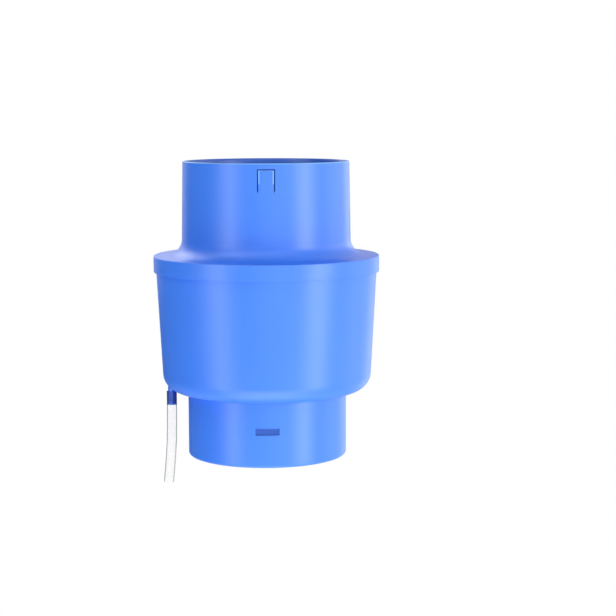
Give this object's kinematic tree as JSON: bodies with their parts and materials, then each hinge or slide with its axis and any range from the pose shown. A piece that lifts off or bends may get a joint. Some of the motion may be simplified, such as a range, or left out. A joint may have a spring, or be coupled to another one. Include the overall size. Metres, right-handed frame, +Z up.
{
  "type": "flue condensate collector",
  "caption": "Blue plastic flue fitting: snap-lock socket above, lidded bowl that traps condensate round a standpipe, spigot below, and a clear drain hose on a nipple.",
  "frame": {"origin": "centre of the spigot's lower end, on the duct's axis", "axes": "+Z up along the duct to the socket's mouth, -Y to the front with the snap tongue, -X to the drain nipple"},
  "size_m": [0.1773, 0.1772, 0.2558],
  "materials": {
    "blue_plastic": "satin moulded",
    "clear_hose": "clear flexible"
  },
  "bodies": {
    "root": {"flue_pipe": "blue_plastic", "collector_bowl": "blue_plastic", "socket_lid": "blue_plastic", "drain_hose": "clear_hose"}
  },
  "joints": []
}
